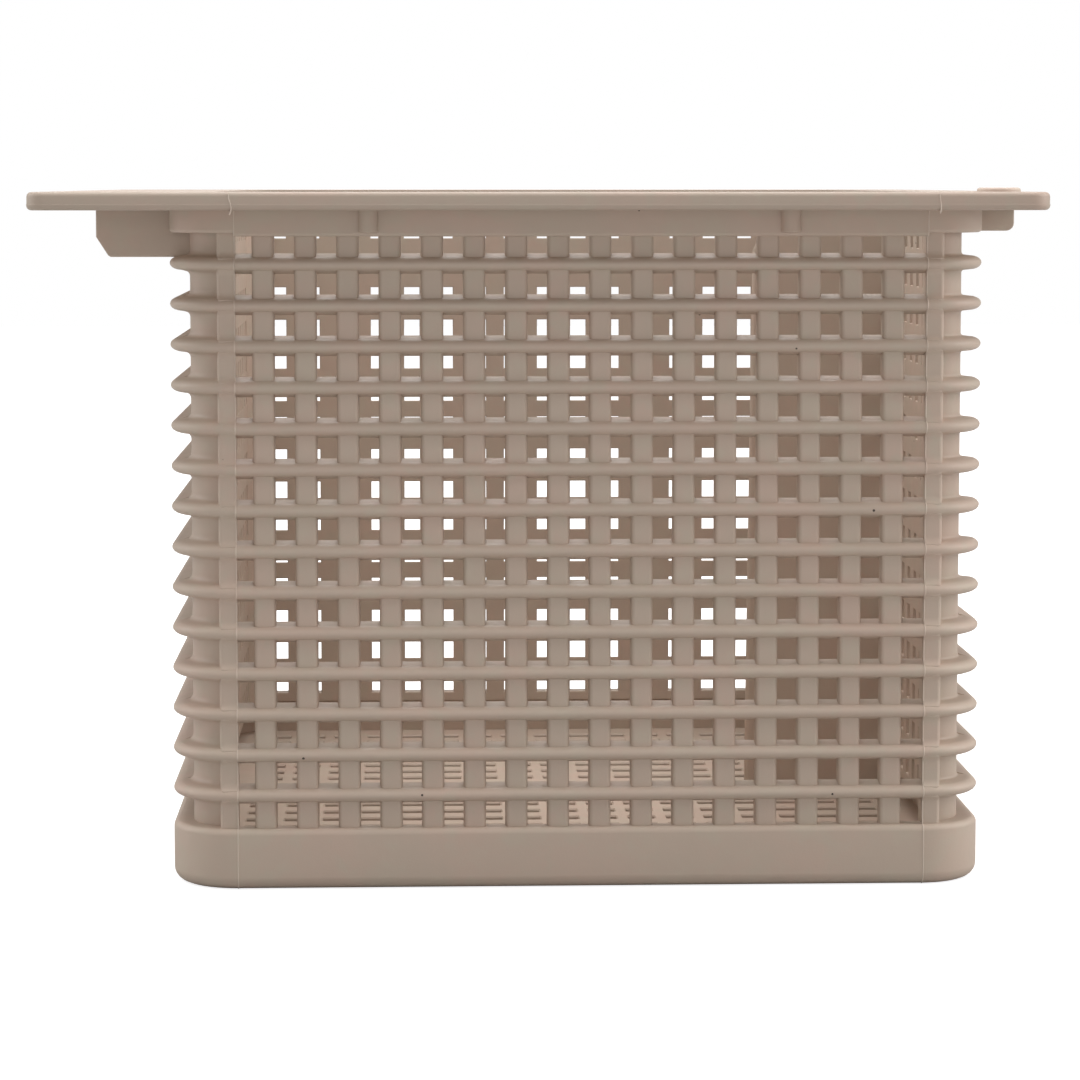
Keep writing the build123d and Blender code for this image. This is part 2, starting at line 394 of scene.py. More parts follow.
def ranged(tree, value, source=(0.0, 1.0), target=(0.0, 1.0)):
    """Value carried from one range to another, and held inside it."""
    return add_node(tree, "ShaderNodeMapRange", {
        "Value": value, "From Min": source[0], "From Max": source[1],
        "To Min": target[0], "To Max": target[1]}).outputs["Result"]


def maths(tree, operation, *values):
    """Result of one Math node."""
    return add_node(tree, "ShaderNodeMath", dict(enumerate(values)),
                    operation=operation).outputs["Value"]


def vector_of(tree, **parts):
    """Vector from the named parts, the others 0."""
    return add_node(tree, "ShaderNodeCombineXYZ", parts).outputs["Vector"]


def stack(tree, given, shape, count, start, pitch, axis):
    """Copies of a shape in a straight row; all but the axis are names of inputs."""
    line = add_node(tree, "GeometryNodeMeshLine", {
        "Count": given[count],
        "Start Location": vector_of(tree, **{axis: given[start]}),
        "Offset": vector_of(tree, **{axis: given[pitch]})})
    return copies_on(tree, line.outputs["Mesh"], given[shape])


def fused(tree, parts):
    """Union of closed shells into one moulding."""
    union = add_node(tree, "GeometryNodeMeshBoolean", operation="UNION", solver="MANIFOLD")
    for part in parts:
        tree.links.new(part, union.inputs["Mesh 2"])
    return union.outputs["Mesh"]


def run_tree(tree, name, values):
    """The mesh that a tree makes from these input values."""
    holder = bpy.data.objects.new(name + "_holder", bpy.data.meshes.new(name + "_holder"))
    bpy.context.scene.collection.objects.link(holder)
    modifier = holder.modifiers.new(tree.name, "NODES")
    modifier.node_group = tree
    for item in tree.interface.items_tree:
        if item.in_out == "INPUT" and item.name in values:
            modifier[item.identifier] = values[item.name]
    data = evaluated_mesh(holder)
    holder.modifiers.clear()
    bpy.data.objects.remove(holder)
    for value in values.values():
        if isinstance(value, bpy.types.Object):
            bpy.data.objects.remove(value)
    return data


def lattice_tree():
    """Upright bars fused with ribs and plain rows: the rule that every wall follows."""
    if "wall_lattice" in bpy.data.node_groups:
        return bpy.data.node_groups["wall_lattice"]
    tree, given = new_tree("wall_lattice", [
        ("Bar", "Object"), ("Bar Count", "Int"), ("First Bar", "Float"), ("Bar Pitch", "Float"),
        ("Rib", "Object"), ("Rib Count", "Int"), ("First Rib", "Float"), ("Rib Pitch", "Float"),
        ("Row", "Object"), ("Row Count", "Int"), ("First Row", "Float"), ("Material", "Material")])
    parts = [stack(tree, given, "Bar", "Bar Count", "First Bar", "Bar Pitch", "X"),
             stack(tree, given, "Rib", "Rib Count", "First Rib", "Rib Pitch", "Z"),
             stack(tree, given, "Row", "Row Count", "First Row", "Rib Pitch", "Z")]
    close_tree(tree, fused(tree, parts), given["Material"])
    return tree


def corner_tree():
    """Quarter-round post and pilaster fused with the ribs that pass round them."""
    if "corner_stack" in bpy.data.node_groups:
        return bpy.data.node_groups["corner_stack"]
    tree, given = new_tree("corner_stack", [
        ("Post", "Object"), ("Pilaster", "Object"), ("Rib", "Object"), ("Web", "Object"),
        ("Rib Count", "Int"), ("First Rib", "Float"), ("Rib Pitch", "Float"),
        ("Material", "Material")])
    parts = [shape_of(tree, given[shape]) for shape in ("Post", "Pilaster")]
    parts += [stack(tree, given, shape, "Rib Count", "First Rib", "Rib Pitch", "Z")
              for shape in ("Rib", "Web")]
    close_tree(tree, fused(tree, parts), given["Material"])
    return tree


def slots_tree():
    """Plate cut by a grid of slots."""
    tree, given = new_tree("slotted_floor", [
        ("Plate", "Object"), ("Slot", "Object"), ("Slots X", "Int"), ("Slots Y", "Int"),
        ("Width", "Float"), ("Depth", "Float"), ("Centre X", "Float"), ("Material", "Material")])
    grid = add_node(tree, "GeometryNodeMeshGrid", {
        "Size X": given["Width"], "Size Y": given["Depth"],
        "Vertices X": given["Slots X"], "Vertices Y": given["Slots Y"]})
    moved = add_node(tree, "GeometryNodeTransform", {
        "Geometry": grid.outputs["Mesh"], "Translation": vector_of(tree, X=given["Centre X"])})
    cutters = copies_on(tree, moved.outputs["Geometry"], given["Slot"])
    cut = add_node(tree, "GeometryNodeMeshBoolean",
                   {"Mesh 1": shape_of(tree, given["Plate"]), "Mesh 2": cutters},
                   operation="DIFFERENCE", solver="MANIFOLD")
    close_tree(tree, cut.outputs["Mesh"], given["Material"])
    return tree


def bead_tree():
    """Fine round bead along a line, its thickness wandering a little."""
    tree, given = new_tree("seam_bead", [
        ("Line", "Object"), ("Radius", "Float"), ("Wander", "Float"), ("Seed", "Float"),
        ("Material", "Material")])
    path = add_node(tree, "GeometryNodeMeshToCurve", {"Mesh": shape_of(tree, given["Line"])})
    noise = add_node(tree, "ShaderNodeTexNoise", {"W": given["Seed"], "Scale": 240.0},
                     noise_dimensions="4D")
    spread = ranged(tree, noise.outputs["Fac"], (0.3, 0.7), (1.0, given["Wander"]))
    ring = add_node(tree, "GeometryNodeCurvePrimitiveCircle",
                    {"Resolution": 6, "Radius": given["Radius"]})
    tube = add_node(tree, "GeometryNodeCurveToMesh", {
        "Curve": path.outputs["Curve"], "Profile Curve": ring.outputs["Curve"],
        "Scale": spread, "Fill Caps": True})
    close_tree(tree, tube.outputs["Mesh"], given["Material"])
    return tree


# ---- finish
def plastic(name, main, speckled=True):
    """Satin as-moulded plastic: clouded colour, rare dark specks, fine grain."""
    if name in bpy.data.materials:
        return bpy.data.materials[name]
    finish = bpy.context.scene.basket_finish
    material = bpy.data.materials.new(name)
    material.use_nodes = True
    tree = material.node_tree
    tree.nodes.clear()
    place = add_node(tree, "ShaderNodeTexCoord").outputs["Object"]

    cloud = add_node(tree, "ShaderNodeTexNoise",
                     {"Vector": place, "Scale": 38.0, "Detail": 4.0, "Roughness": 0.6})
    patch = add_node(tree, "ShaderNodeTexNoise",
                     {"Vector": place, "Scale": 150.0, "Detail": 3.0, "Roughness": 0.55})
    warm = ranged(tree, cloud.outputs["Fac"], (0.42, 0.62))
    cool = ranged(tree, patch.outputs["Fac"], (0.48, 0.66), (0.0, 0.8))
    tinted = mixed(tree, warm, (*main, 1), scaled(main, finish.blush, finish.plastic))
    tinted = mixed(tree, cool, tinted, scaled(main, finish.pale, finish.plastic))

    if speckled:
        dots = add_node(tree, "ShaderNodeTexVoronoi", {"Vector": place, "Scale": 210.0})
        chosen = add_node(tree, "ShaderNodeSeparateColor", {"Color": dots.outputs["Color"]})
        rare = maths(tree, "LESS_THAN", chosen.outputs["Red"], 0.06)
        size = maths(tree, "MULTIPLY", chosen.outputs["Green"], 0.075)
        inside = maths(tree, "LESS_THAN", dots.outputs["Distance"], size)
        speck = maths(tree, "MULTIPLY", rare, inside)
        tinted = mixed(tree, speck, tinted, (*finish.speck, 1))

    gloss = ranged(tree, patch.outputs["Fac"], (0.3, 0.7), (0.48, 0.62))
    grain = add_node(tree, "ShaderNodeTexNoise",
                     {"Vector": place, "Scale": 1900.0, "Detail": 2.0, "Roughness": 0.5})
    ripple = add_node(tree, "ShaderNodeTexNoise",
                      {"Vector": place, "Scale": 260.0, "Detail": 1.0})
    height = maths(tree, "MULTIPLY_ADD", ripple.outputs["Fac"], 2.5, grain.outputs["Fac"])
    bump = add_node(tree, "ShaderNodeBump", {
        "Height": height, "Strength": finish.grain, "Distance": 0.4 * MM})
    shader = add_node(tree, "ShaderNodeBsdfPrincipled", {
        "Base Color": tinted, "Roughness": gloss,
        "Normal": bump.outputs["Normal"], "IOR": 1.49})
    output = tree.nodes.new("ShaderNodeOutputMaterial")
    tree.links.new(shader.outputs["BSDF"], output.inputs["Surface"])
    return material


def mixed(tree, factor, first, second):
    """Colour mix of two colours or links."""
    mix = tree.nodes.new("ShaderNodeMix")
    mix.data_type = "RGBA"
    tree.links.new(factor, mix.inputs[0])
    for index, value in ((6, first), (7, second)):
        if isinstance(value, bpy.types.NodeSocket):
            tree.links.new(value, mix.inputs[index])
        else:
            mix.inputs[index].default_value = value
    return mix.outputs[2]


def scaled(main, tone, base):
    """The main colour shifted as the tone is from the base colour."""
    return (*[m * t / b for m, t, b in zip(main, tone, base)], 1)


def cage_plastic():
    return plastic("cage_plastic", bpy.context.scene.basket_finish.plastic)


def flange_plastic():
    main = bpy.context.scene.basket_finish.plastic
    # painted shade: a darker copy of the cage's plastic, standing in for less light on the flange
    return plastic("flange_plastic", [FLANGE_PAINTED_SHADE * part for part in main])


# ---- walls
def rib_levels(sizes):
    """Lowest rib's level and the pitch from rib to rib."""
    lowest = low("front_ribs", 2) + sizes.rib_flank
    highest = high("front_ribs", 2) - sizes.rib_flank
    return lowest, (highest - lowest) / (sizes.rib_count - 1)


def wall_turn(quarter):
    """Turns a shape drawn for the front wall to another wall, about the cage's axis."""
    return Matrix.Translation((CAGE_X, 0, 0)) @ Matrix.Rotation(quarter * QUARTER, 4, "Z")


def straight(outline, along, tip):
    """(depth, height) outline drawn out along the wall, between two places."""
    return swept([[(x, depth - tip, z) for depth, z in outline] for x in along])


Wall = namedtuple("Wall", "name quarter tip ends face back bars ribs")


def all_walls(sizes):
    """What differs from wall to wall."""
    left, right = SEAM_LEFT - CAGE_X, SEAM_RIGHT - CAGE_X
    side_left, side_right = HALF_DEPTH - RADIUS_LEFT, HALF_DEPTH - RADIUS_RIGHT
    long_wall = (LONG_FACE, LONG_BACK, sizes.long_bars)
    side_wall = (SIDE_FACE, SIDE_BACK, sizes.side_bars)
    ribs = sizes.rib_count
    return [Wall("front", 0, HALF_DEPTH, (left, right), *long_wall, ribs),
            Wall("rear", 2, HALF_DEPTH, (-right, -left), *long_wall, ribs),
            Wall("left", -1, HALF_WIDTH, (-side_left, side_left), *side_wall, ribs),
            Wall("right", 1, HALF_WIDTH, (-side_right, side_right), *side_wall,
                 sizes.right_rib_count)]


def build_wall(sizes, wall, material):
    """Bars from base to flange, with a rib on each row that has one."""
    lowest, pitch = rib_levels(sizes)
    plan = bar_outline(sizes, wall.face, wall.back)
    bar = swept([[(x, depth - wall.tip, z) for x, depth in plan]
                 for z in (SILL_TOP - OVERLAP, FLANGE_LOW + OVERLAP)])
    rib = straight(rib_outline(sizes, wall.back), wall.ends, wall.tip)
    row = straight(row_outline(sizes, wall.face, wall.back), wall.ends, wall.tip)
    data = run_tree(lattice_tree(), wall.name, {
        "Bar": as_object("bar", bar), "Bar Count": wall.bars,
        "First Bar": -(wall.bars - 1) / 2 * sizes.bar_pitch, "Bar Pitch": sizes.bar_pitch,
        "Rib": as_object("rib", rib), "Rib Count": wall.ribs, "First Rib": lowest,
        "Row": as_object("row", row), "Row Count": sizes.rib_count - wall.ribs,
        "First Row": lowest + pitch * wall.ribs, "Rib Pitch": pitch, "Material": material})
    data.transform(wall_turn(wall.quarter))
    piece = shaded(data, wall.name + "_wall")
    declare(piece, material, (wall.name + "_grille", wall.name + "_ribs"))


class BASKET_OT_walls(bpy.types.Operator):
    """Builds the four barred walls with their rib bands"""

    bl_idname = "basket.walls"
    bl_label = "Barred walls"

    def execute(self, context):
        sizes = context.scene.basket_sizes
        for wall in all_walls(sizes):
            build_wall(sizes, wall, cage_plastic())
        return {"FINISHED"}


# ---- corners
class Corner:
    """One corner of the cage: its arc's centre, radius and first angle."""

    def __init__(self, end, side):
        self.name = end + "_" + side
        self.x_way = -1 if side == "left" else 1
        self.y_way = -1 if end == "front" else 1
        self.radius = RADIUS_LEFT if side == "left" else RADIUS_RIGHT
        self.centre = Vector((CAGE_X + self.x_way * (HALF_WIDTH - self.radius),
                              self.y_way * (HALF_DEPTH - self.radius), 0))
        first = {(1, 1): 0, (-1, 1): 1, (-1, -1): 2, (1, -1): 3}[self.x_way, self.y_way]
        self.start = first * QUARTER
        self.seam_first = self.x_way * self.y_way < 0

    def point(self, angle, depth, z):
        """Place at a depth inside the corner's outer arc."""
        reach = self.radius - depth
        way = Vector((math.cos(angle), math.sin(angle), 0))
        return self.centre + way * reach + Vector((0, 0, z))

    def angles(self, steps):
        return [self.start + QUARTER * k / steps for k in range(steps + 1)]


CORNERS = [Corner(end, side) for end, side in
           (("front", "right"), ("rear", "right"), ("rear", "left"), ("front", "left"))]


def around(corner, outline):
    """(depth, height) outline swept a quarter turn round a corner."""
    return swept([[corner.point(angle, depth, z) for depth, z in outline]
                  for angle in corner.angles(CORNER_STEPS)])


def pilaster_plan(sizes, corner):
    """Flat strip beside the seam, its edge away from the seam rounded."""
    edge, reach = sizes.bar_round, sizes.pilaster
    across = [(0, SIDE_BACK), (0, LONG_FACE)]
    across += arc((reach - edge, LONG_FACE + edge), edge, -QUARTER, 0, 4)
    across += [(reach, SIDE_BACK)]
    return [(corner.centre.x + corner.x_way * along, corner.y_way * (HALF_DEPTH - depth))
            for along, depth in across]


def pilaster_web(sizes, corner):
    """Hollow rounding above and below a rib where it crosses the pilaster."""
    edge, flank = sizes.bar_round, sizes.rib_flank
    # (share of the bars' depth, half height in rib half heights)
    curve = ((0.45, 0.8), (0.66, 1.0), (0.84, 1.25), (0.95, 1.55), (1.0, 1.9))
    upper = [(share * LONG_FACE, rise * flank) for share, rise in curve]
    upper += [(LONG_FACE + OVERLAP, upper[-1][1])]
    outline = upper + [(depth, -height) for depth, height in reversed(upper)]
    start, end = corner.centre.x, sizes.pilaster - 0.4 * edge
    # the web sinks into the pilaster where that one's edge is rounded
    steps = ((0, 0), (end - 0.6 * edge, 0), (end, OVERLAP))
    return swept([[(start + corner.x_way * along, corner.y_way * (HALF_DEPTH - depth - sink), z)
                   for depth, z in outline] for along, sink in steps])


def build_corner(sizes, corner, material):
    """Post, pilaster and the ribs that pass round them."""
    lowest, pitch = rib_levels(sizes)
    hollow = sizes.left_hollow if corner.x_way < 0 else sizes.right_hollow
    bottom, top = SILL_TOP - OVERLAP, FLANGE_LOW + OVERLAP
    post = [(SIDE_FACE, bottom), (SIDE_FACE, top), (SIDE_BACK, top), (SIDE_BACK, bottom)]
    plan = pilaster_plan(sizes, corner)
    pilaster = raised([(bottom, plan), (top, plan)])
    rib = rib_outline(sizes, SIDE_BACK - sizes.soft_edge, hollow)
    data = run_tree(corner_tree(), corner.name, {
        "Post": as_object("post", around(corner, post)),
        "Pilaster": as_object("pilaster", pilaster),
        "Rib": as_object("rib", around(corner, rib)),
        "Web": as_object("web", pilaster_web(sizes, corner)),
        "Rib Count": sizes.rib_count, "First Rib": lowest, "Rib Pitch": pitch,
        "Material": material})
    piece = shaded(data, corner.name + "_corner")
    declare(piece, material, (corner.name + "_post", corner.name + "_corner_ribs"))


class BASKET_OT_corners(bpy.types.Operator):
    """Builds the four corner posts with the ribs that pass round them"""

    bl_idname = "basket.corners"
    bl_label = "Corner posts"

    def execute(self, context):
        for corner in CORNERS:
            build_corner(context.scene.basket_sizes, corner, cage_plastic())
        return {"FINISHED"}


# ---- collar and base band
def ring_run(section, long_depth, side_depth):
    """Closed band round the cage; section(depth) gives its (depth, height) outline."""
    outlines = []
    for corner in CORNERS:
        angles = corner.angles(CORNER_STEPS)
        if corner.seam_first:
            angles[0] += SEAM_CLEARANCE
        else:
            angles[-1] -= SEAM_CLEARANCE
        turn = [[corner.point(angle, depth, z) for depth, z in section(side_depth)]
                for angle in angles]
        seam = corner.start if corner.seam_first else corner.start + QUARTER
        plain = [corner.point(seam, depth, z) for depth, z in section(long_depth)]
        outlines += [plain] + turn if corner.seam_first else turn + [plain]
    return swept(outlines, closed=True)


def ring_nodes(kind):
    """The CAD members that make one band."""
    walls = [side + "_" + kind for side in ("front", "rear", "left", "right")]
    return walls + [corner.name + "_corner_" + kind for corner in CORNERS]


class BASKET_OT_collar(bpy.types.Operator):
    """Builds the plain band under the flange"""

    bl_idname = "basket.collar"
    bl_label = "Collar"

    def execute(self, context):
        sizes = context.scene.basket_sizes
        edge, soft, top = sizes.collar_round, sizes.soft_edge, FLANGE_LOW + OVERLAP

        def section(depth):
            bottom = COLLAR_LOW + (COLLAR_RISE if depth > SIDE_FACE else 0)
            outer = arc((edge, bottom + edge), edge, math.pi, 3 * QUARTER, 4)
            inner = arc((depth - soft, bottom + soft), soft, -QUARTER, 0, 3)
            return [(0, top)] + outer + inner + [(depth, top)]

        band = ring_run(section, LONG_FACE + OVERLAP, SIDE_FACE + OVERLAP)
        finished("collar_band", band, ring_nodes("collar"), cage_plastic())
        return {"FINISHED"}


class BASKET_OT_sill(bpy.types.Operator):
    """Builds the rounded band round the base, with its inward ledge"""

    bl_idname = "basket.sill"
    bl_label = "Base band"

    def execute(self, context):
        sizes = context.scene.basket_sizes
        foot, lip, soft = sizes.foot_radius, sizes.sill_shoulder, sizes.soft_edge
        skin, under = sizes.sill_skin, SILL_TOP - sizes.sill_ledge

        def section(depth):
            toe = arc((foot, foot), foot, 3 * QUARTER, math.pi, 6)
            shoulder = arc((lip, SILL_TOP - lip), lip, math.pi, QUARTER, 5)
            ledge = arc((depth - soft, SILL_TOP - soft), soft, QUARTER, 0, 3)
            return toe + shoulder + ledge + [(depth, under), (skin, under), (skin, 0)]

        band = ring_run(section, LONG_BACK, SIDE_BACK)
        finished("base_band", band, ring_nodes("sill"), cage_plastic())
        return {"FINISHED"}


# ---- flange
def mouth_limits():
    """The flange's mouth: inner faces of the four walls."""
    across = (TIP_LEFT + SIDE_BACK, TIP_RIGHT - SIDE_BACK)
    return across, (TIP_FRONT + LONG_BACK, TIP_REAR - LONG_BACK)


class BASKET_OT_flange(bpy.types.Operator):
    """Builds the flat rim with rounded edges and its open mouth"""

    bl_idname = "basket.flange"
    bl_label = "Rim flange"

    def execute(self, context):
        sizes = context.scene.basket_sizes
        edge, soft, corner = sizes.flange_edge, sizes.soft_edge, sizes.flange_corner
        across, along = span("rim_flange", 0), span("rim_flange", 1)
        mouth_across, mouth_along = mouth_limits()
        mouth_corner = RADIUS_RIGHT - SIDE_BACK
        # a faint parting line runs round the edge; the rim is drawn in to leave room for flash
        parting, step, shrink = FLANGE_LOW + 1.4 * MM, 0.07 * MM, 0.1 * MM
        turns = (0, QUARTER / 3, 2 * QUARTER / 3, QUARTER)

        outer = [(shrink + edge - edge * math.sin(t), FLANGE_LOW + edge - edge * math.cos(t))
                 for t in turns]
        outer += [(shrink, parting), (shrink + step, parting + step)]
        outer += [(shrink + step + edge - edge * math.cos(t),
                   FLANGE_TOP - edge + edge * math.sin(t)) for t in turns]
        inner = [(soft - soft * math.sin(t), FLANGE_TOP - soft + soft * math.cos(t))
                 for t in (0, QUARTER / 2, QUARTER)]
        inner += [(0, FLANGE_LOW)]
        levels = [(z, drawn_in(across, along, d, corner)) for d, z in outer]
        levels += [(z, drawn_in(mouth_across, mouth_along, -d, mouth_corner)) for d, z in inner]
        # the flange's material carries painted shade: a darker copy of the cage's plastic
        finished("rim_flange_moulded", raised(levels, closed=True), ["rim_flange"],
                 flange_plastic())
        return {"FINISHED"}


class BASKET_OT_button(bpy.types.Operator):
    """Builds the low round button on the flange"""

    bl_idname = "basket.button"
    bl_label = "Flange button"

    def execute(self, context):
        finish = context.scene.basket_finish
        lowest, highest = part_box("flange_button")
        middle, radius = (lowest + highest) / 2, (highest.x - lowest.x) / 2
        rise, edge, sink, sides = highest.z - lowest.z, 0.7, 0.2, 48
        # (share of the radius, share of the rise), from the foot up and into a faint dish
        profile = [(1, -sink), (1, 1 - edge)]
        profile += [(1 - edge * rise / radius * (1 - math.cos(t)), 1 - edge + edge * math.sin(t))
                    for t in (QUARTER / 3, 2 * QUARTER / 3, QUARTER)]
        profile += [(0.62, 1), (0.58, 0.93), (0.25, 0.92)]
        turns = [4 * QUARTER * k / sides for k in range(sides)]
        levels = [(lowest.z + h * rise,
                   [(middle.x + r * radius * math.cos(t), middle.y + r * radius * math.sin(t))
                    for t in turns]) for r, h in profile]
        finished("flange_button_moulded", raised(levels), ["flange_button"],
                 plastic("button_plastic", finish.button, speckled=False))
        return {"FINISHED"}


# ---- floor
class BASKET_OT_floor(bpy.types.Operator):
    """Builds the slotted floor"""

    bl_idname = "basket.floor"
    bl_label = "Slotted floor"

    def execute(self, context):
        sizes = context.scene.basket_sizes
        soft, slot_corner = sizes.soft_edge, sizes.soft_edge + 0.1 * MM
        half_length, half_width = sizes.slot_length / 2, sizes.slot_width / 2
        corner = RADIUS_LEFT - sizes.sill_skin
        outline = rounded_loop(span("floor_grid", 0), span("floor_grid", 1), corner)
        plate = raised([(FLOOR_LOW, outline), (FLOOR_TOP, outline)])
        # (how much wider, height): the slots flare at both faces of the floor
        levels = [(soft, FLOOR_LOW - soft), (-0.5 * soft, FLOOR_LOW + soft),
                  (-0.5 * soft, FLOOR_TOP - soft), (soft, FLOOR_TOP + soft)]
        slot = raised([(z, drawn_in((-half_length, half_length), (-half_width, half_width),
                                    -d, slot_corner, 2)) for d, z in levels])
        data = run_tree(slots_tree(), "floor", {
            "Plate": as_object("plate", plate), "Slot": as_object("slot", slot),
            "Slots X": sizes.slots_x, "Slots Y": sizes.slots_y,
            "Width": (sizes.slots_x - 1) * sizes.bar_pitch,
            "Depth": (sizes.slots_y - 1) * sizes.slot_pitch,
            "Centre X": CAGE_X, "Material": cage_plastic()})
        declare(shaded(data, "slotted_floor"), cage_plastic(), ["floor_grid"])
        return {"FINISHED"}


# ---- partition
class BASKET_OT_partition(bpy.types.Operator):
    """Builds the upright plate across the right half, with its rounded free edge"""

    bl_idname = "basket.partition"
    bl_label = "Partition"

    def execute(self, context):
        lowest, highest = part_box("partition_plate")
        lean, cut, edge, tuck = 1.7 * MM, 1.6 * MM, 1.2 * MM, 0.2 * MM
        cut_low, cut_rise = lowest.z + 149.8 * MM, 4.0 * MM
        # (height, place of the free edge): it leans back, and is cut away near the top
        edges = [(lowest.z - tuck, lowest.x), (cut_low, lowest.x + lean),
                 (cut_low + cut_rise, lowest.x + lean + cut),
                 (highest.z + tuck, lowest.x + lean + cut)]
        wall, front, rear = highest.x + OVERLAP, lowest.y, highest.y

        def plan(free):
            outline = [(wall, rear), (wall, front)]
            outline += arc((free + edge, front + edge), edge, 3 * QUARTER, 2 * QUARTER, 4)
            return outline + arc((free + edge, rear - edge), edge, 2 * QUARTER, QUARTER, 4)

        plate = raised([(z, plan(free)) for z, free in edges])
        finished("partition_moulded", plate, ["partition_plate"], cage_plastic())
        return {"FINISHED"}


# ---- flange supports
def fin(wall_x, y_limits, steps):
    """Upright plate from a wall; steps are (height, tip, how much thinner each side)."""
    soft, corner = 0.5 * MM, 0.15 * MM
    way = 1 if steps[0][1] > wall_x else -1
    levels = []
    for z, tip, thin in steps:
        y0, y1 = y_limits[0] + thin, y_limits[1] - thin
        near = [(wall_x, y0), (tip - way * soft, y0), (tip - way * corner, y0 + corner),
                (tip, y0 + soft)]
        far = [(x, y0 + y1 - y) for x, y in reversed(near)]
        levels.append((z, near + far))
    return raised(levels)


class BASKET_OT_gussets(bpy.types.Operator):
    """Builds the upright plates under the flange, beside the cage"""

    bl_idname = "basket.gussets"
    bl_label = "Gussets"

    def execute(self, context):
        soft, top = 0.35 * MM, FLANGE_LOW + OVERLAP
        thickness, setback = 3.0 * MM, 20.3 * MM
        fronts = [(TIP_FRONT + setback, TIP_FRONT + setback + thickness),
                  (TIP_REAR - setback - thickness, TIP_REAR - setback)]

        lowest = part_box("left_gussets")[0]
        slant_x, slant_z = 3.1 * MM, 4.9 * MM
        left_steps = [(lowest.z, lowest.x + slant_x + soft, soft),
                      (lowest.z + soft, lowest.x + slant_x - soft / 2, 0),
                      (lowest.z + slant_z, lowest.x, 0), (top, lowest.x, 0)]
        plates = [fin(TIP_LEFT + SIDE_FACE + OVERLAP, limits, left_steps) for limits in fronts]
        finished("left_gussets_moulded", joined(plates), ["left_gussets"], cage_plastic())

        bottom, tip, bend = low("right_gussets", 2), high("right_gussets", 0), 1.9 * MM
        right_steps = [(bottom + bend * (1 - math.cos(t)), tip - bend * (1 - math.sin(t)),
                        soft * (1 - math.sin(t))) for t in [QUARTER * k / 5 for k in range(6)]]
        right_steps.append((top, tip, 0))
        plates = [fin(TIP_RIGHT - SIDE_FACE - OVERLAP, limits, right_steps) for limits in fronts]
        finished("right_gussets_moulded", joined(plates), ["right_gussets"], cage_plastic())
        return {"FINISHED"}


class BASKET_OT_bosses(bpy.types.Operator):
    """Builds the half-round pads on the collar, under the flange"""

    bl_idname = "basket.bosses"
    bl_label = "Collar pads"

    def execute(self, context):
        radius, offset, soft = 2.4 * MM, 50.8 * MM, 0.5 * MM
        for end, way in (("front", -1), ("rear", 1)):
            bottom = low(end + "_bosses", 2)
            steps = [(bottom, radius - soft), (bottom + 0.3 * soft, radius - 0.3 * soft),
                     (bottom + soft, radius), (FLANGE_LOW + OVERLAP, radius)]
            face, pads = way * HALF_DEPTH, []
            for x in (CAGE_X - offset, CAGE_X + offset):
                pads.append(raised([(z, [
                    (x - size, face - way * OVERLAP),
                    *[(x + a, face + way * b) for a, b in arc((0, 0), size, math.pi, 0, 14)],
                    (x + size, face - way * OVERLAP)]) for z, size in steps]))
            finished(end + "_pads_moulded", joined(pads), [end + "_bosses"], cage_plastic())
        return {"FINISHED"}


# ---- seam flash
def seam_path(sizes):
    """(depth, height) of the surface along a mould seam, from foot to flange."""
    lowest, pitch = rib_levels(sizes)
    foot, lip = sizes.foot_radius, sizes.sill_shoulder
    clear_of_ground = 0.35        # radians round the foot
    nose = [(depth, height) for depth, height in nose_curve(sizes) if depth < LONG_FACE]
    path = arc((foot, foot), foot, 3 * QUARTER - clear_of_ground, math.pi, 5)
    path += arc((lip, SILL_TOP - lip), lip, math.pi, QUARTER, 4)
    for k in range(sizes.rib_count):
        level = lowest + k * pitch
        path += [(LONG_FACE, level - 2 * sizes.rib_flank)]
        path += [(depth, level + height) for depth, height in nose]
        path += [(LONG_FACE, level + 2 * sizes.rib_flank)]
    return path + [(LONG_FACE, COLLAR_LOW), (0, COLLAR_LOW + OVERLAP), (0, FLANGE_LOW)]


def nib_points(x, way, hang, sway):
    """Torn edge of flash that crosses the flange's face and hangs a little below it."""
    inside, behind, steps, waviness = 0.2 * MM, 0.7 * MM, 12, 5.0
    face = high("rim_flange", 1) - inside
    bottom, top = FLANGE_LOW - hang, FLANGE_TOP - 0.3 * MM
    points = [(x, way * HALF_DEPTH, FLANGE_LOW), (x, way * (face - behind), FLANGE_LOW)]
    for k in range(steps + 1):
        share = k / steps
        wave = sway * math.sin(waviness * share) * (1 - 0.5 * share)
        points.append((x + wave, way * face, bottom + (top - bottom) * share))
    return points


class BASKET_OT_seams(bpy.types.Operator):
    """Builds the fine beads of flash along the mould seams"""

    bl_idname = "basket.seams"
    bl_label = "Seam flash"

    def execute(self, context):
        sizes, finish = context.scene.basket_sizes, context.scene.basket_finish
        material = plastic("flash_plastic", finish.flash, speckled=False)
        tree = bead_tree()
        # name, which way is out, place along X, how far the torn end hangs and sways
        seams = (("front_left", -1, SEAM_LEFT, 1.0 * MM, 0.45 * MM),
                 ("front_right", -1, SEAM_RIGHT, 0.7 * MM, 0.2 * MM),
                 ("rear_left", 1, SEAM_LEFT, 0.3 * MM, -0.2 * MM),
                 ("rear_right", 1, SEAM_RIGHT, 0.5 * MM, 0.3 * MM))
        for seed, (corner, way, x, hang, sway) in enumerate(seams):
            line = bpy.data.meshes.new("line")
            points = [(x, way * (HALF_DEPTH - depth), z) for depth, z in seam_path(sizes)]
            points += nib_points(x, way, hang, sway)
            line.from_pydata(points, [(k, k + 1) for k in range(len(points) - 1)], [])
            name = corner + "_seam_flash"
            data = run_tree(tree, name, {
                "Line": bpy.data.objects.new("line", line), "Radius": sizes.seam_bead,
                "Wander": 1.5, "Seed": float(seed), "Material": material})
            declare(shaded(data, name, smooth_angle=70), material)
        return {"FINISHED"}


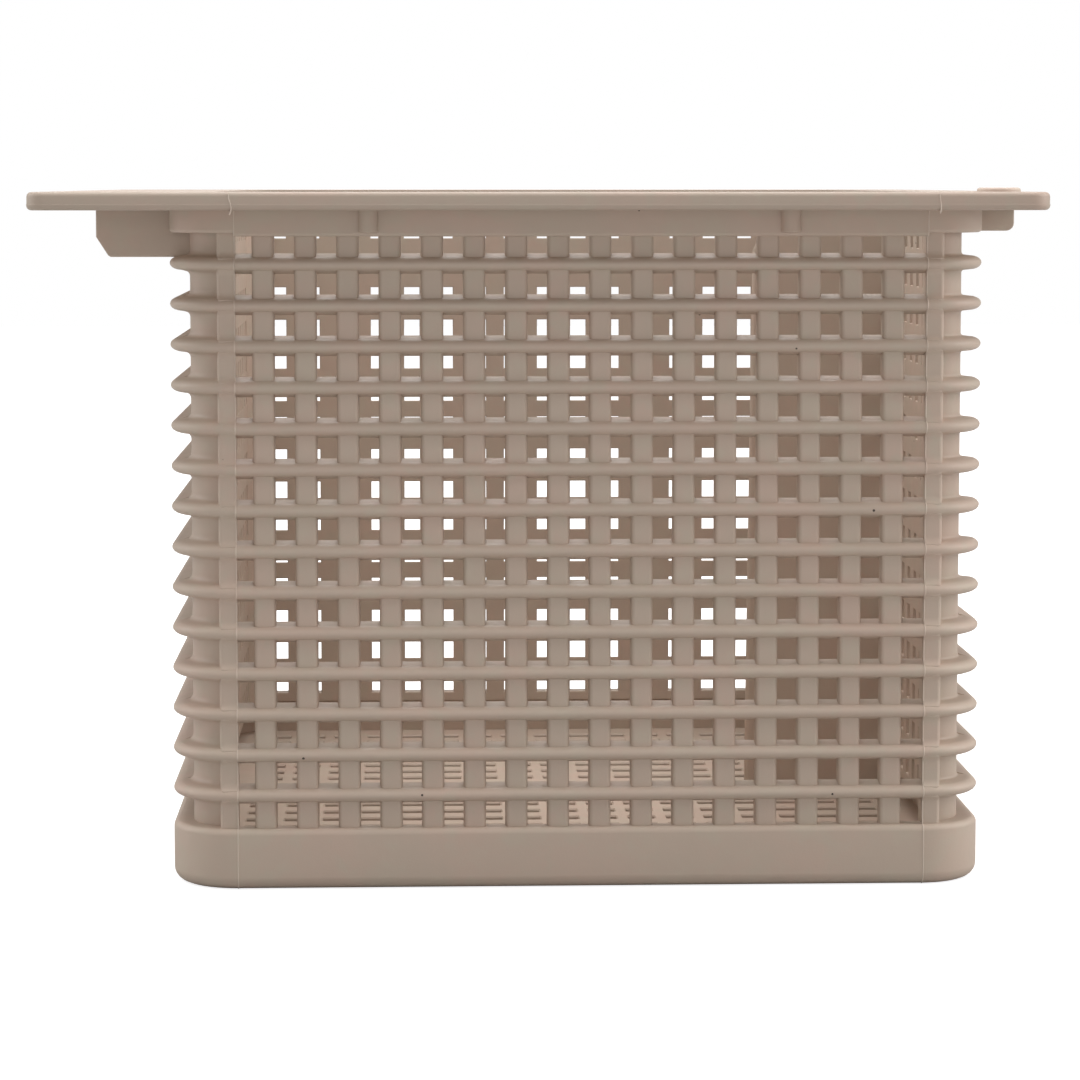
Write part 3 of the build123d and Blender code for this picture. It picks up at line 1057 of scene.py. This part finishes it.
# ---- stage
def add_light(name, strength, size, place, aim):
    """Soft rectangular light turned towards a place."""
    data = bpy.data.lights.new(name, "AREA")
    data.energy, data.shape, data.size, data.size_y = strength, "RECTANGLE", size[0], size[1]
    lamp = bpy.data.objects.new(name, data)
    bpy.context.scene.collection.objects.link(lamp)
    lamp.location = place
    lamp.rotation_euler = (Vector(aim) - Vector(place)).to_track_quat("-Z", "Y").to_euler()


def plain_sky(ambient):
    """White sky to the camera, softer as a light."""
    world = bpy.data.worlds.new("plain_sky")
    world.use_nodes = True
    sky = world.node_tree.nodes["Background"]
    sky.inputs["Color"].default_value = (1, 1, 1, 1)
    seen = add_node(world.node_tree, "ShaderNodeLightPath").outputs["Is Camera Ray"]
    strength = ranged(world.node_tree, seen, target=(ambient, 1.0))
    world.node_tree.links.new(strength, sky.inputs["Strength"])
    return world


def pale_floor(width, floor_glow):
    """Pale floor that runs into the sky without lighting the basket from below."""
    half = width / 2
    plane = bmesh.new()
    plane.faces.new([plane.verts.new((x, y, 0)) for x, y in
                     ((-half, -half), (half, -half), (half, half), (-half, half))])
    floor = as_object("pale_floor", plane, linked=True)
    paint = bpy.data.materials.new("pale_floor")
    paint.use_nodes = True
    shader = paint.node_tree.nodes["Principled BSDF"]
    shader.inputs["Base Color"].default_value = (0.5, 0.5, 0.5, 1)
    shader.inputs["Roughness"].default_value = 0.9
    shader.inputs["Emission Color"].default_value = (1, 1, 1, 1)
    seen = add_node(paint.node_tree, "ShaderNodeLightPath").outputs["Is Camera Ray"]
    paint.node_tree.links.new(maths(paint.node_tree, "MULTIPLY", seen, floor_glow),
                              shader.inputs["Emission Strength"])
    floor.data.materials.append(paint)
    return floor


def add_camera(scene, lens):
    """Level view from in front, a little above the rim's height."""
    distance, height, off_centre = 0.785, 0.1715, -0.0298
    down, aside = math.radians(4.37), math.radians(-2.19)
    data = bpy.data.cameras.new("camera")
    camera = bpy.data.objects.new("camera", data)
    scene.collection.objects.link(camera)
    data.lens, data.sensor_width = lens, 36
    data.shift_y = -0.1
    data.clip_start, data.clip_end = 0.05, 20
    camera.location = (off_centre, TIP_FRONT - distance, height)
    camera.rotation_euler = (QUARTER - down, 0, aside)
    scene.camera = camera


class BASKET_OT_stage(bpy.types.Operator):
    """Makes the pale floor, the soft lights and the camera"""

    bl_idname = "basket.stage"
    bl_label = "Stage"

    def execute(self, context):
        scene, stage = context.scene, context.scene.basket_stage
        scene.world = plain_sky(stage.ambient)
        scene.view_settings.view_transform = "Standard"
        pale_floor(stage.floor_size, stage.floor_glow)

        # name, power, (width, height), place
        lights = [("main_softbox", stage.main_light, (1.0, 0.8), (-0.1, -0.7, 1.55)),
                  ("fill_softbox", stage.fill_light, (0.3, 0.3), (-0.03, -1.5, 0.22)),
                  ("left_softbox", stage.left_light, (0.9, 1.2), (-1.3, 0.3, 0.7)),
                  ("right_softbox", stage.right_light, (0.9, 1.0), (1.3, -0.15, 0.7)),
                  ("overhead_softbox", stage.top_light, (1.2, 1.2), (0, 0.1, 1.5)),
                  ("rear_softbox", stage.rear_light, (0.9, 0.6), (0, 1.3, 1.1))]
        for name, strength, size, place in lights:
            add_light(name, strength, size, place, (CAGE_X, 0, FLANGE_TOP / 2))
        add_camera(scene, stage.lens)
        return {"FINISHED"}


# ---- panel and registration
OPERATORS = (BASKET_OT_walls, BASKET_OT_corners, BASKET_OT_collar, BASKET_OT_sill,
             BASKET_OT_flange, BASKET_OT_button, BASKET_OT_floor, BASKET_OT_partition,
             BASKET_OT_gussets, BASKET_OT_bosses, BASKET_OT_seams, BASKET_OT_stage)


class BASKET_PT_panel(bpy.types.Panel):
    """Sizes, colours and build steps of the strainer basket"""

    bl_label = "Strainer Basket"
    bl_idname = "BASKET_PT_panel"
    bl_space_type = "VIEW_3D"
    bl_region_type = "UI"
    bl_category = "Basket"

    def draw(self, context):
        scene = context.scene
        for group in (scene.basket_sizes, scene.basket_finish, scene.basket_stage):
            box = self.layout.box()
            for key in group.__annotations__:
                box.prop(group, key)
        for operator in OPERATORS:
            self.layout.operator(operator.bl_idname)


GROUPS = (BasketSizes, BasketFinish, BasketStage)
CLASSES = GROUPS + OPERATORS + (BASKET_PT_panel,)


def register():
    for cls in CLASSES:
        bpy.utils.register_class(cls)
    bpy.types.Scene.basket_sizes = PointerProperty(type=BasketSizes)
    bpy.types.Scene.basket_finish = PointerProperty(type=BasketFinish)
    bpy.types.Scene.basket_stage = PointerProperty(type=BasketStage)


def unregister():
    del bpy.types.Scene.basket_sizes
    del bpy.types.Scene.basket_finish
    del bpy.types.Scene.basket_stage
    for cls in reversed(CLASSES):
        bpy.utils.unregister_class(cls)


def main():
    """Builds the basket and its stage."""
    register()
    bpy.ops.basket.walls()
    bpy.ops.basket.corners()
    bpy.ops.basket.collar()
    bpy.ops.basket.sill()
    bpy.ops.basket.flange()
    bpy.ops.basket.button()
    bpy.ops.basket.floor()
    bpy.ops.basket.partition()
    bpy.ops.basket.gussets()
    bpy.ops.basket.bosses()
    bpy.ops.basket.seams()
    bpy.ops.basket.stage()
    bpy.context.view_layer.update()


if __name__ == "__main__":
    main()
